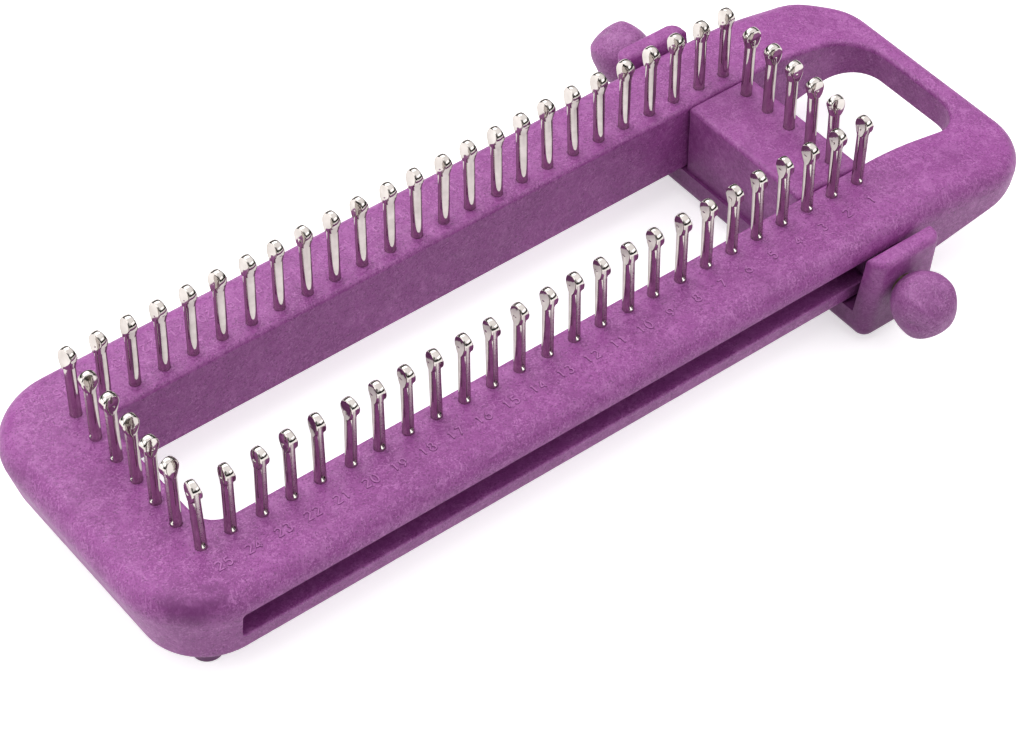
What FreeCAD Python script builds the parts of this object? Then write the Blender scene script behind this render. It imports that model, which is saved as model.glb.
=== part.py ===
import FreeCAD, Part
import math
import os

from FreeCAD import Vector

# Knitting board, all sizes in millimetres.
# The lay-out is drawn about the middle peg: x = 0 at peg 13, y = 0 midway
# between the rails, z = 0 on top of the rails. Every piece is then moved by
# (SHIFT_X, 0, SHIFT_Z), so that the finished board stands on z = 0 with the
# middle of its bounding box over the origin. +X runs along the rails towards
# the thin handle end, +Z is up.

# ------------------------------------------------------------------ layout
PITCH = 9.525            # peg spacing along the rails (3/8 inch)
RAIL_PEGS = 25           # pegs on each rail
ROW_Y = 30.0             # peg rows, either side of the middle
END_X = -114.8           # row of five pegs on the left end bar
END_PITCH = 9.70
SLIDER_ROW_X = 12 * PITCH
SLIDER_PITCH = 9.475

SHIFT_X = -17.125
SHIFT_Z = 35.0

# ------------------------------------------------------------------- frame
RAIL_H = 24.05           # rail height
TOP_HALF_W = 51.9        # outer wall, produced to the top plane
BOT_HALF_W = 48.5        # outer wall, produced to the underside
TOP_X0, TOP_X1 = -140.3, 173.7
BOT_X0, BOT_X1 = -132.9, 170.7
TOP_R0, TOP_R1 = 27.0, 22.5      # plan corner radii, left and right
BOT_R0, BOT_R1 = 18.4, 19.5
INNER_HALF_W = 25.0
INNER_X0, INNER_X1 = -109.3, 163.7
INNER_R0, INNER_R1 = 7.5, 13.0
TOP_ROUND = 6.5
TOP_ROUND_END = 5.0
BOT_ROUND = 3.0
INNER_TOP_ROUND = 1.5
INNER_BOT_ROUND = 0.8

# right end thins to a handle: where each face leaves the level, its bend
# radius, slope, where it flattens again
WEDGE_TOP_X, WEDGE_TOP_R, WEDGE_TOP_SLOPE = 121.5, 105.0, 0.205
WEDGE_BOT_X, WEDGE_BOT_R, WEDGE_BOT_SLOPE = 125.5, 30.0, 0.195
WEDGE_FLAT_X = 166.0
WEDGE_FLAT_R = 30.0

SLOT_X0, SLOT_X1 = -115.8, 113.4
SLOT_Z0, SLOT_Z1 = -17.0, -7.55
SLOT_FLOOR_Y = 42.6
SLOT_CORNER = 1.2

# -------------------------------------------------------------------- feet
FOOT_X_LEFT, FOOT_X_RIGHT = -118.2, 128.4
FOOT_Y = 34.4
FOOT_R_TOP, FOOT_R_BOT = 4.75, 4.5
FOOT_EDGE = 0.6
FOOT_SPIGOT_R = 2.5
FOOT_SPIGOT_L = 6.0
FOOT_Z = -35.0

# ------------------------------------------------------------------ slider
SLIDER_X0_TOP, SLIDER_X1_TOP = 96.4, 120.4
SLIDER_X0_BOT, SLIDER_X1_BOT = 94.9, 121.4
SLIDER_BOT = -33.6
SLIDER_GAP = 0.3         # between slider and frame, beside and under the rails
PLATE_TOP = -RAIL_H - SLIDER_GAP
BLOCK_HALF_W = INNER_HALF_W - SLIDER_GAP
BLOCK_X0, BLOCK_X1 = 96.4, 120.2
LEAN = 7.0               # tabs and knob axes lean with the rail's outer wall
TAB_TOP = -1.8
TAB_OUT_Y = 60.6         # outer face at the tab's top
TAB_THICK = 6.0
SLIDER_ROUND = 4.0
TAB_TOP_ROUND = 1.9

# -------------------------------------------------------- clamp and knobs
AXIS_X = {-1: 106.5, 1: 107.1}   # near and far side
AXIS_Y = 47.0            # the axis passes through this point inside the slot
AXIS_Z = {-1: -12.4, 1: -11.7}
SCREW_R = 2.40
SCREW_BORE = 0.05        # radial running clearance in the insert and shoe
INSERT_R = 3.6
SHOE_X, SHOE_Z = 9.6, 8.6
SHOE_TIP = 0.05          # shoe to slot floor at rest
KNOB_GAP = 1.2           # knob to tab when clamped
KNOB_LOBES = 4
KNOB_MIDDLE = 8.2        # from the knob's inner end to the middle of the ball
KNOB_SECTIONS = [        # along the axis from the middle, crest radius, flute depth
    (-8.2, 5.00, 0.02),
    (-7.2, 6.25, 0.06),
    (-5.2, 7.95, 0.15),
    (-2.6, 9.30, 0.35),
    (0.0, 9.85, 0.62),
    (2.4, 9.85, 0.90),
    (4.4, 9.35, 1.10),
    (6.1, 8.30, 1.05),
    (7.6, 6.75, 0.75),
    (8.7, 4.95, 0.40),
    (9.35, 3.20, 0.16),
    (9.65, 1.60, 0.04),
]
KNOB_CREST_SOFT = 0.020  # how softly the crests are rounded
KNOB_CREST_POWER = 0.70  # how narrow they are
KNOB_DENT = (0.90, 4.6, 2.2, 1.6)    # a deeper place in each flute: depth,
                                     # along the axis, half length, half width
NEAR_KNOB_CREST = 137.0  # direction of one lobe's crest, degrees from +X
FAR_KNOB_CREST = 155.0   # towards +Z

# -------------------------------------------------------------------- pegs
PEG_R = 1.70
PEG_HOLE = 9.0           # depth of the pin's hole
PEG_FIT = 0.02           # the pin's interference in its hole
NECK_Z = 18.7            # where the head starts, above the rail
NECK_STEP = 0.13         # the head's foot stands proud of the pin
DISC_Z = 22.3            # middle of the head's upright disc
DISC_R = 2.66            # at the middle of its crowned rim
DISC_CROWN = 0.14        # the rim's fall, per square millimetre along the row
DISC_OUT = 0.15          # the disc leans outward over the pin
FLAT_HALF_T = 1.60       # the head's half thickness at the disc's middle
FLAT_SLANT = 0.231       # its two flats lean in towards the top
FLARE_R = 2.40           # the flare under the disc, at its upper end
FLARE_TOP = 21.2
LIP_X = 2.66             # the outer lip's lower corner
LIP_Z = 20.75
LIP_HALF_W = 1.25
GROOVE_R = 0.55

# small turns of single pegs about their own axes, degrees
TWIST_NEAR = {25: -5, 24: -4, 21: -5, 19: -4, 17: -6, 15: -4, 12: -3,
              11: -3, 10: -4, 8: -3, 5: -4, 4: -3, 23: 3, 20: 4, 18: 2,
              14: 4, 13: 4, 9: 2, 7: 3, 6: 2, 3: 2, 2: 3, 1: 1}
TWIST_FAR = {25: 12, 24: 12, 23: 0, 22: 5, 21: 6, 20: 14, 19: 4, 18: 7,
             17: 12, 16: 8, 15: 12, 14: 4, 13: 0, 12: 5, 11: 7, 10: 0,
             9: 4, 8: 12, 7: -1, 6: 6, 5: 12, 4: 7, 3: 11, 2: 9, 1: 3}
TWIST_END = [-6, 4, -3, 8, 12]
TWIST_SLIDER = [-4, -8, -3, -6, -9]

os.makedirs("parts", exist_ok=True)
SHIFT = Vector(SHIFT_X, 0, SHIFT_Z)


def save(name, shape):
    moved = shape.copy()
    moved.translate(SHIFT)
    if not moved.isValid():
        moved = moved.copy()
        moved.fix(1e-6, 1e-6, 1e-6)
    moved.exportStep("parts/%s.step" % name)
    box = moved.optimalBoundingBox(False)
    print("%-24s solids %2d valid %s volume %10.2f  x %.2f..%.2f  y %.2f..%.2f  z %.2f..%.2f" % (
        name, len(moved.Solids), moved.isValid(), moved.Volume,
        box.XMin, box.XMax, box.YMin, box.YMax, box.ZMin, box.ZMax))


def outline(x0, x1, half, r0, r1, z):
    """Rounded rectangle in plan: radius r0 at the left, r1 at the right."""
    k = math.sqrt(0.5)

    def arc(cx, cy, r, a):
        p = [Vector(cx + r * math.cos(math.radians(t)), cy + r * math.sin(math.radians(t)), z)
             for t in (a, a + 45, a + 90)]
        return Part.Arc(*p).toShape()

    def line(xa, ya, xb, yb):
        return Part.LineSegment(Vector(xa, ya, z), Vector(xb, yb, z)).toShape()

    edges = [
        line(x0 + r0, -half, x1 - r1, -half),
        arc(x1 - r1, -half + r1, r1, 270),
        line(x1, -half + r1, x1, half - r1),
        arc(x1 - r1, half - r1, r1, 0),
        line(x1 - r1, half, x0 + r0, half),
        arc(x0 + r0, half - r0, r0, 90),
        line(x0, half - r0, x0, -half + r0),
        arc(x0 + r0, -half + r0, r0, 180),
    ]
    return Part.Wire(edges)


def prism(points, direction):
    wire = Part.makePolygon([Vector(*p) for p in points] + [Vector(*points[0])])
    return Part.Face(wire).extrude(Vector(*direction))


def bend(x, z, r, slope, sign):
    """Arc that leaves the level at (x, z) and turns to the slope.

    sign -1 turns down (centre below), +1 turns up. Returns mid and end."""
    a = math.atan(slope)
    mid = (x + r * math.sin(a / 2), z + sign * r * (1 - math.cos(a / 2)))
    end = (x + r * math.sin(a), z + sign * r * (1 - math.cos(a)))
    return mid, end


def level_out(x, z, r, slope, sign):
    """Arc that leaves the slope at (x, z) and turns back to the level."""
    a = math.atan(slope)
    cx = x + r * math.sin(a)
    cz = z + sign * r * math.cos(a)
    mid = (cx - r * math.sin(a / 2), cz - sign * r * math.cos(a / 2))
    end = (cx, cz - sign * r)
    return mid, end


def side_profile():
    """The board seen from the near side, with the thin handle end."""
    def v(p):
        return Vector(p[0], -80, p[1])

    def seg(a, b):
        return Part.LineSegment(v(a), v(b)).toShape()

    def arc(a, m, b):
        return Part.Arc(v(a), v(m), v(b)).toShape()

    left, right = -160.0, 190.0
    t0 = (WEDGE_TOP_X, 0.0)
    tm, t1 = bend(t0[0], t0[1], WEDGE_TOP_R, WEDGE_TOP_SLOPE, -1)
    flat = WEDGE_FLAT_X - WEDGE_FLAT_R * math.sin(math.atan(WEDGE_TOP_SLOPE))
    t2 = (flat, t1[1] - (flat - t1[0]) * WEDGE_TOP_SLOPE)
    tn, t3 = level_out(t2[0], t2[1], WEDGE_FLAT_R, WEDGE_TOP_SLOPE, +1)
    b0 = (WEDGE_BOT_X, -RAIL_H)
    bm, b1 = bend(b0[0], b0[1], WEDGE_BOT_R, WEDGE_BOT_SLOPE, +1)
    flat = WEDGE_FLAT_X - WEDGE_FLAT_R * math.sin(math.atan(WEDGE_BOT_SLOPE))
    b2 = (flat, b1[1] + (flat - b1[0]) * WEDGE_BOT_SLOPE)
    bn, b3 = level_out(b2[0], b2[1], WEDGE_FLAT_R, WEDGE_BOT_SLOPE, -1)
    print("handle end thickness %.2f, top %.2f, underside %.2f" % (t3[1] - b3[1], t3[1], b3[1]))
    edges = [
        seg((left, 0.0), t0), arc(t0, tm, t1), seg(t1, t2), arc(t2, tn, t3),
        seg(t3, (right, t3[1])), seg((right, t3[1]), (right, b3[1])),
        seg((right, b3[1]), b3), arc(b3, bn, b2), seg(b2, b1), arc(b1, bm, b0),
        seg(b0, (left, -RAIL_H)), seg((left, -RAIL_H), (left, 0.0)),
    ]
    face = Part.Face(Part.Wire(edges))
    return face.extrude(Vector(0, 160, 0))


def pick(shape, test):
    return [e for e in shape.Edges if test(e)]


def mid_point(edge):
    u0, u1 = edge.ParameterRange
    return edge.valueAt(0.5 * (u0 + u1))


def fillet(shape, radius, edges, label):
    """Round the edges. Radius is one number, or a function of the edge."""
    if not edges:
        print("no edges for", label)
        return shape
    try:
        if callable(radius):
            doc = FreeCAD.newDocument("rounding")
            base = doc.addObject("Part::Feature", "base")
            base.Shape = shape
            index = {}
            for i, e in enumerate(base.Shape.Edges, 1):
                index[i] = e
            chosen = []
            for e in edges:
                for i, other in index.items():
                    if other.isSame(e) or (
                            (mid_point(other) - mid_point(e)).Length < 1e-6
                            and abs(other.Length - e.Length) < 1e-6):
                        ra, rb = radius(other)
                        chosen.append((i, ra, rb))
                        break
            feature = doc.addObject("Part::Fillet", "rounded")
            feature.Base = base
            feature.Edges = chosen
            doc.recompute()
            out = feature.Shape.copy()
            FreeCAD.closeDocument(doc.Name)
        else:
            out = shape.makeFillet(radius, edges)
        if out.isNull() or not out.isValid() or len(out.Solids) != 1:
            print("rounding not valid:", label, out.isNull())
            return shape
        return out
    except Exception as problem:
        print("rounding failed:", label, problem)
        return shape


# ------------------------------------------------------------------- frame
def make_frame():
    # the drafted outer wall is produced past both faces, then trimmed
    over, under = 3.0, 3.0

    def at(top, bot, z):
        return top + (bot - top) * (-z / RAIL_H)

    wires = []
    for z in (over, -RAIL_H - under):
        wires.append(outline(at(TOP_X0, BOT_X0, z), at(TOP_X1, BOT_X1, z),
                             at(TOP_HALF_W, BOT_HALF_W, z), at(TOP_R0, BOT_R0, z),
                             at(TOP_R1, BOT_R1, z), z))
    outer = Part.makeLoft(wires, True, True)
    body = outer.common(side_profile())
    hole = Part.Face(outline(INNER_X0, INNER_X1, INNER_HALF_W, INNER_R0, INNER_R1, -40)).extrude(Vector(0, 0, 60))
    body = body.cut(hole).removeSplitter()
    if body.ShapeType != "Solid":
        body = body.Solids[0]

    def kind(e):
        """Which loop an edge belongs to: outer or inner, top or bottom."""
        n = 5
        u0, u1 = e.ParameterRange
        pts = [e.valueAt(u0 + (u1 - u0) * i / (n - 1)) for i in range(n)]
        # wall edges run up and down: leave them out
        if abs(pts[0].z - pts[-1].z) > 6:
            return None
        m = pts[n // 2]
        # seams across the end bar's faces, where a bend ends
        if abs(m.x - WEDGE_FLAT_X) < 0.5 and max(p.x for p in pts) - min(p.x for p in pts) < 0.1:
            return None
        inner = all(abs(p.y) <= INNER_HALF_W + 0.01 and INNER_X0 - 0.01 <= p.x <= INNER_X1 + 0.01 for p in pts)
        top = m.z > -12.0
        # bends across the top and underside join inner and outer edges
        across = abs(abs(pts[0].y) - abs(pts[-1].y)) > 12 and abs(pts[0].x - pts[-1].x) < 0.5
        if across:
            return None
        return ("inner" if inner else "outer") + ("_top" if top else "_bottom")

    sets = {}
    for e in body.Edges:
        k = kind(e)
        if k:
            sets.setdefault(k, []).append(e)
    for k in sorted(sets):
        print(k, len(sets[k]), [(round(mid_point(e).x, 1), round(mid_point(e).y, 1), round(mid_point(e).z, 1)) for e in sets[k]])

    def outer_top_radius(e):
        u0, u1 = e.ParameterRange
        a, b = e.valueAt(u0), e.valueAt(u1)

        def r(p):
            f = min(1.0, max(0.0, (p.x - 130.0) / 36.0))
            return TOP_ROUND + (TOP_ROUND_END - TOP_ROUND) * f
        return r(a), r(b)

    body = fillet(body, outer_top_radius, sets["outer_top"], "outer top")

    def refresh(name):
        return [e for e in body.Edges if kind(e) == name and any(
            (mid_point(e) - mid_point(o)).Length < 0.5 for o in sets[name])]

    body = fillet(body, BOT_ROUND, refresh("outer_bottom"), "outer bottom")
    body = fillet(body, INNER_TOP_ROUND, refresh("inner_top"), "inner top")
    body = fillet(body, INNER_BOT_ROUND, refresh("inner_bottom"), "inner bottom")

    # a groove in the outer side of each rail, for the clamp shoes
    for side in (-1, 1):
        w = SLOT_X1 - SLOT_X0
        h = SLOT_Z1 - SLOT_Z0
        box = Part.makeBox(w, 20, h, Vector(SLOT_X0, 0, SLOT_Z0))
        box = box.makeFillet(SLOT_CORNER, [e for e in box.Edges
                                           if abs(e.Vertexes[0].Point.x - e.Vertexes[1].Point.x) < 1e-6
                                           and abs(e.Vertexes[0].Point.z - e.Vertexes[1].Point.z) < 1e-6])
        if side > 0:
            box.translate(Vector(0, SLOT_FLOOR_Y, 0))
        else:
            box.translate(Vector(0, -SLOT_FLOOR_Y - 20, 0))
        body = body.cut(box)
        if body.ShapeType != "Solid":
            body = body.Solids[0]
        mouth = pick(body, lambda e: (
            SLOT_X0 - 0.2 <= mid_point(e).x <= SLOT_X1 + 0.2
            and SLOT_Z0 - 0.2 <= mid_point(e).z <= SLOT_Z1 + 0.2
            and side * mid_point(e).y > SLOT_FLOOR_Y + 4
            and not (e.Length < 10 and abs(e.Vertexes[0].Point.y - e.Vertexes[-1].Point.y) > 4)))
        body = fillet(body, 0.45, mouth, "groove mouth")

    # blind holes for the pegs and the feet
    holes = []
    for x, y in rail_pegs(-1) + rail_pegs(1) + end_pegs():
        holes.append(Part.makeCylinder(PEG_R - PEG_FIT, PEG_HOLE + 5, Vector(x, y, -PEG_HOLE)))
    for x, y in feet():
        holes.append(Part.makeCylinder(FOOT_SPIGOT_R, FOOT_SPIGOT_L + 8.1, Vector(x, y, -RAIL_H - 8)))
    body = body.cut(Part.makeCompound(holes))
    if body.ShapeType != "Solid":
        body = body.Solids[0]
    return body


def rail_pegs(side):
    """Peg 25 is at the left end of a rail and peg 1 beside the slider."""
    return [((13 - n) * PITCH, side * ROW_Y) for n in range(1, RAIL_PEGS + 1)]


def end_pegs():
    return [(END_X, (2 - k) * END_PITCH) for k in range(5)]


def slider_pegs():
    return [(SLIDER_ROW_X, (2 - k) * SLIDER_PITCH) for k in range(5)]


def feet():
    return [(x, y) for x in (FOOT_X_LEFT, FOOT_X_RIGHT) for y in (-FOOT_Y, FOOT_Y)]


# -------------------------------------------------------------------- pegs
def make_peg():
    """A pin whose head is a disc standing on edge, with a flare under it.
    Outward is +X here, z = 0 is the rail's top. The disc's two flats face +Y
    and -Y; on the outer side it comes down to a lip that overhangs the pin,
    and a groove runs down that side of the pin."""
    pin = Part.makeCylinder(PEG_R, DISC_Z - 1.0 + PEG_HOLE - 0.1, Vector(0, 0, -PEG_HOLE + 0.1))
    low = [e for e in pin.Edges if abs(mid_point(e).z - (-PEG_HOLE + 0.1)) < 1e-6 and e.Closed]
    pin = pin.makeChamfer(0.4, low)
    # the disc: its section turned about a line along the row
    t = 2.6
    edge = DISC_R - DISC_CROWN * t * t
    a, b, c = Vector(edge, -t, 0), Vector(DISC_R, 0, 0), Vector(edge, t, 0)
    section = Part.Wire([Part.LineSegment(Vector(0, -t, 0), a).toShape(), Part.Arc(a, b, c).toShape(),
                         Part.LineSegment(c, Vector(0, t, 0)).toShape(),
                         Part.LineSegment(Vector(0, t, 0), Vector(0, -t, 0)).toShape()])
    disc = Part.Face(section).revolve(Vector(0, 0, 0), Vector(0, 1, 0), 360)
    disc = Part.Solid(disc.Shells[0]) if disc.ShapeType != "Solid" else disc
    if disc.Volume < 0:
        disc.reverse()
    disc.translate(Vector(DISC_OUT, 0, DISC_Z))
    flare = Part.makeCone(PEG_R + NECK_STEP, FLARE_R, FLARE_TOP - NECK_Z, Vector(0, 0, NECK_Z))
    # the two flats, thinner towards the top
    z_lo, z_hi = NECK_Z - 0.6, DISC_Z + DISC_R + 0.6
    w_lo = FLAT_HALF_T - FLAT_SLANT * (z_lo - DISC_Z)
    w_hi = FLAT_HALF_T - FLAT_SLANT * (z_hi - DISC_Z)
    wedge = Part.makePolygon([Vector(-6, -w_lo, z_lo), Vector(-6, w_lo, z_lo), Vector(-6, w_hi, z_hi),
                              Vector(-6, -w_hi, z_hi), Vector(-6, -w_lo, z_lo)])
    wedge = Part.Face(wedge).extrude(Vector(12, 0, 0))
    disc = disc.common(wedge)
    flare = flare.common(wedge)
    # the outer lip
    lip = Part.makePolygon([Vector(0.4, -LIP_HALF_W, DISC_Z + 0.2), Vector(LIP_X, -LIP_HALF_W, DISC_Z + 0.2),
                            Vector(LIP_X, -LIP_HALF_W, LIP_Z), Vector(PEG_R + 0.05, -LIP_HALF_W, LIP_Z - 1.35),
                            Vector(0.4, -LIP_HALF_W, LIP_Z - 1.35), Vector(0.4, -LIP_HALF_W, DISC_Z + 0.2)])
    lip = Part.Face(lip).extrude(Vector(0, 2 * LIP_HALF_W, 0))
    corners = [e for e in lip.Edges if abs(mid_point(e).x - LIP_X) < 1e-6]
    lip = lip.makeFillet(0.3, corners)
    peg = pin.fuse([flare, lip, disc]).removeSplitter()
    groove = Part.makeCylinder(GROOVE_R, 17.6, Vector(PEG_R + 0.14, 0, 2.6))
    spoon = Part.makeSphere(0.95, Vector(PEG_R + 0.36, 0, 2.6))
    peg = peg.cut(groove).cut(spoon)
    solids = peg.Solids
    solids.sort(key=lambda s: -s.Volume)
    return solids[0]


def place_peg(peg, x, y, turn):
    p = peg.copy()
    p.rotate(Vector(0, 0, 0), Vector(0, 0, 1), turn)
    p.translate(Vector(x, y, 0))
    return p


# ------------------------------------------------------------------ slider
def tab_y(z, thick=0.0):
    """Distance of the tab's outer face from the middle, at height z."""
    return TAB_OUT_Y - (TAB_TOP - z) * math.tan(math.radians(LEAN)) - thick / math.cos(math.radians(LEAN))


def tab_s(side):
    """Where the knob's axis meets the tab's outer face, along the axis."""
    a = math.radians(LEAN)
    # face: points p with (p - q) . n = 0, n along the axis
    qy, qz = TAB_OUT_Y, TAB_TOP
    return (qy - AXIS_Y) * math.cos(a) - (qz - AXIS_Z[side]) * math.sin(a)


def axis_frame(side):
    a = math.radians(LEAN)
    origin = Vector(AXIS_X[side], side * AXIS_Y, AXIS_Z[side])
    direction = Vector(0, side * math.cos(a), -math.sin(a))
    return origin, direction


def make_slider():
    section = [
        (-tab_y(SLIDER_BOT), SLIDER_BOT), (-tab_y(TAB_TOP), TAB_TOP),
        (-tab_y(TAB_TOP, TAB_THICK), TAB_TOP), (-tab_y(PLATE_TOP, TAB_THICK), PLATE_TOP),
        (tab_y(PLATE_TOP, TAB_THICK), PLATE_TOP), (tab_y(TAB_TOP, TAB_THICK), TAB_TOP),
        (tab_y(TAB_TOP), TAB_TOP), (tab_y(SLIDER_BOT), SLIDER_BOT),
    ]
    cradle = prism([(80.0, y, z) for y, z in section], (60, 0, 0))
    slope0 = (SLIDER_X0_BOT - SLIDER_X0_TOP) / (SLIDER_BOT - 0.0)
    slope1 = (SLIDER_X1_BOT - SLIDER_X1_TOP) / (SLIDER_BOT - 0.0)
    side = prism([
        (SLIDER_X0_BOT - 5 * slope0, -80, SLIDER_BOT - 5), (SLIDER_X1_BOT - 5 * slope1, -80, SLIDER_BOT - 5),
        (SLIDER_X1_TOP + 5 * slope1, -80, 5), (SLIDER_X0_TOP + 5 * slope0, -80, 5)], (0, 160, 0))
    cradle = cradle.common(side)
    if cradle.ShapeType != "Solid":
        cradle = cradle.Solids[0]

    def outside(e):
        m = mid_point(e)
        low = abs(m.z - SLIDER_BOT) < 0.01 and all(abs(v.Point.z - SLIDER_BOT) < 0.01 for v in e.Vertexes)
        upright = (abs(e.Vertexes[0].Point.z - e.Vertexes[-1].Point.z) > 20
                   and abs(m.y) > tab_y(m.z) - 0.5)
        return low or upright

    cradle = fillet(cradle, SLIDER_ROUND, pick(cradle, outside), "slider outside")
    tops = pick(cradle, lambda e: all(abs(v.Point.z - TAB_TOP) < 0.01 for v in e.Vertexes)
                and abs(mid_point(e).z - TAB_TOP) < 0.01)
    cradle = fillet(cradle, TAB_TOP_ROUND, tops, "tab tops")

    block = Part.makeBox(BLOCK_X1 - BLOCK_X0, 2 * BLOCK_HALF_W, 28.6, Vector(BLOCK_X0, -BLOCK_HALF_W, -28.6))
    right = pick(block, lambda e: abs(mid_point(e).x - BLOCK_X1) < 0.01 and abs(e.Vertexes[0].Point.z - e.Vertexes[1].Point.z) > 5)
    left = pick(block, lambda e: abs(mid_point(e).x - BLOCK_X0) < 0.01 and abs(e.Vertexes[0].Point.z - e.Vertexes[1].Point.z) > 5)
    block = block.makeFillet(3.0, right)
    left = pick(block, lambda e: abs(mid_point(e).x - BLOCK_X0) < 0.01 and abs(e.Vertexes[0].Point.z - e.Vertexes[-1].Point.z) > 5)
    block = block.makeFillet(1.2, left)
    tops = pick(block, lambda e: abs(mid_point(e).z) < 0.01)
    block = fillet(block, 1.5, tops, "block top")
    slider = cradle.fuse(block).removeSplitter()
    if slider.ShapeType != "Solid":
        slider = slider.Solids[0]

    cuts = [Part.makeCylinder(PEG_R - PEG_FIT, PEG_HOLE + 5, Vector(x, y, -PEG_HOLE)) for x, y in slider_pegs()]
    for s in (-1, 1):
        origin, direction = axis_frame(s)
        cuts.append(Part.makeCylinder(INSERT_R, 30, origin, direction))
    for c in cuts:
        slider = slider.cut(c)
    if slider.ShapeType != "Solid":
        slider = slider.Solids[0]
    return slider


# ----------------------------------------------------- clamp, along its axis
def along(side, s):
    origin, direction = axis_frame(side)
    return origin + direction * s


def make_insert(side):
    """Brass insert, flush with both faces of the tab."""
    s1 = tab_s(side)
    s0 = s1 - TAB_THICK
    _, d = axis_frame(side)
    body = Part.makeCylinder(INSERT_R, s1 - s0, along(side, s0), d)
    bore = Part.makeCylinder(SCREW_R + SCREW_BORE, 12, along(side, s0 - 2), d)
    return body.cut(bore).removeSplitter()


def shoe_ends():
    """The shoe's inner end on the slot floor and its outer end, measured in y."""
    return SLOT_FLOOR_Y + SHOE_TIP, 48.3


def make_shoe(side):
    y0, y1 = shoe_ends()
    box = Part.makeBox(SHOE_X, y1 - y0, SHOE_Z, Vector(AXIS_X[side] - SHOE_X / 2, 0, -0.5 * (-SLOT_Z0 - SLOT_Z1) - SHOE_Z / 2))
    box = box.makeChamfer(0.5, [e for e in box.Edges if abs(e.Vertexes[0].Point.x - e.Vertexes[1].Point.x) < 1e-6
                                and abs(e.Vertexes[0].Point.z - e.Vertexes[1].Point.z) < 1e-6])
    box.translate(Vector(0, y0 if side > 0 else -y1, 0))
    _, d = axis_frame(side)
    # blind bore for the screw's tip
    bore = Part.makeCylinder(SCREW_R + SCREW_BORE, 12, along(side, screw_tip() - 0.05), d)
    return box.cut(bore)


def screw_tip():
    return -2.2


def make_screw(side):
    """Stud with a hexagon head that is moulded into the knob."""
    _, d = axis_frame(side)
    s_knob = tab_s(side) + KNOB_GAP
    s_head = s_knob + 7.6
    shank = Part.makeCylinder(SCREW_R, s_head - screw_tip(), along(side, screw_tip()), d)
    tip = [e for e in shank.Edges if e.Closed and (mid_point(e) - along(side, screw_tip())).Length < SCREW_R + 0.1]
    shank = shank.makeChamfer(0.4, tip)
    hexagon = []
    x = Vector(1, 0, 0)
    z = d.cross(x)
    for k in range(7):
        a = math.radians(60 * k)
        hexagon.append(along(side, s_head) + (x * math.cos(a) + z * math.sin(a)) * 4.3)
    head = Part.Face(Part.makePolygon(hexagon)).extrude(d * 3.0)
    return shank.fuse(head).removeSplitter()


def knob_radius(t, crest, depth, angle, peak):
    """A ball with lobes: the crests are narrow, the flutes broad and soft,
    each with a deeper dent towards the outer end."""
    soft = KNOB_CREST_SOFT
    half = 0.5 * KNOB_LOBES * (angle - peak)
    w = (math.sqrt(math.sin(half) ** 2 + soft) - math.sqrt(soft)) / (math.sqrt(1 + soft) - math.sqrt(soft))
    w = (w + 0.01) ** KNOB_CREST_POWER
    # distance round from the middle of the flute
    step = 2 * math.pi / KNOB_LOBES
    off = (angle - peak) % step - 0.5 * step
    deep, at, long, wide = KNOB_DENT
    dent = deep * math.exp(-((t - at) / long) ** 2 - (off * crest / wide) ** 2)
    return crest - depth * w - dent


def make_knob(side, crest_deg, screw):
    _, d = axis_frame(side)
    x = Vector(1, 0, 0)
    # second direction across the axis, leaning to +Z
    z = x.cross(d)
    if z.z < 0:
        z = z * -1
    s0 = tab_s(side) + KNOB_GAP + KNOB_MIDDLE
    wires = []
    n = 72
    for t, crest, depth in KNOB_SECTIONS:
        pts = []
        for k in range(n):
            a = 2 * math.pi * k / n
            r = knob_radius(t, crest, depth, a, math.radians(crest_deg))
            pts.append(along(side, s0 + t) + (x * math.cos(a) + z * math.sin(a)) * r)
        curve = Part.BSplineCurve()
        curve.interpolate(pts, PeriodicFlag=True)
        wires.append(Part.Wire(curve.toShape()))
    knob = Part.makeLoft(wires, True, False)
    if knob.ShapeType != "Solid":
        knob = knob.Solids[0]
    knob = knob.cut(screw)
    solids = knob.Solids
    solids.sort(key=lambda s: -s.Volume)
    return solids[0]


def make_foot(x, y):
    """Round foot, slightly tapered, with a spigot in the rail's underside."""
    # the rail's underside has begun to rise over the right feet
    if x > WEDGE_BOT_X - FOOT_R_TOP:
        top = -RAIL_H + max(0.0, (x + FOOT_R_TOP - WEDGE_BOT_X)) ** 2 / (2 * WEDGE_BOT_R) + 0.0
    else:
        top = -RAIL_H
    h = top - FOOT_Z
    cone = Part.makeCone(FOOT_R_BOT, FOOT_R_TOP, h, Vector(x, y, FOOT_Z))
    low = [e for e in cone.Edges if e.Closed and abs(mid_point(e).z - FOOT_Z) < 1e-6]
    cone = cone.makeFillet(FOOT_EDGE, low)
    spigot = Part.makeCylinder(FOOT_SPIGOT_R, top + RAIL_H + FOOT_SPIGOT_L, Vector(x, y, -RAIL_H))
    return cone, spigot


frame = make_frame()
save("frame", frame)

peg = make_peg()
print("peg valid", peg.isValid(), "volume", round(peg.Volume, 2), "faces", len(peg.Faces))
near = [place_peg(peg, x, y, -90 + TWIST_NEAR.get(n + 1, 0)) for n, (x, y) in enumerate(rail_pegs(-1))]
far = [place_peg(peg, x, y, 90 + TWIST_FAR.get(n + 1, 0)) for n, (x, y) in enumerate(rail_pegs(1))]
save("near_rail_pegs", Part.makeCompound(near))
save("far_rail_pegs", Part.makeCompound(far))
for k, (x, y) in enumerate(end_pegs()):
    save("end_peg_%d" % (k + 1), place_peg(peg, x, y, 180 + TWIST_END[k]))
for k, (x, y) in enumerate(slider_pegs()):
    save("slider_peg_%d" % (k + 1), place_peg(peg, x, y, TWIST_SLIDER[k]))

save("slider", make_slider())

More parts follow.
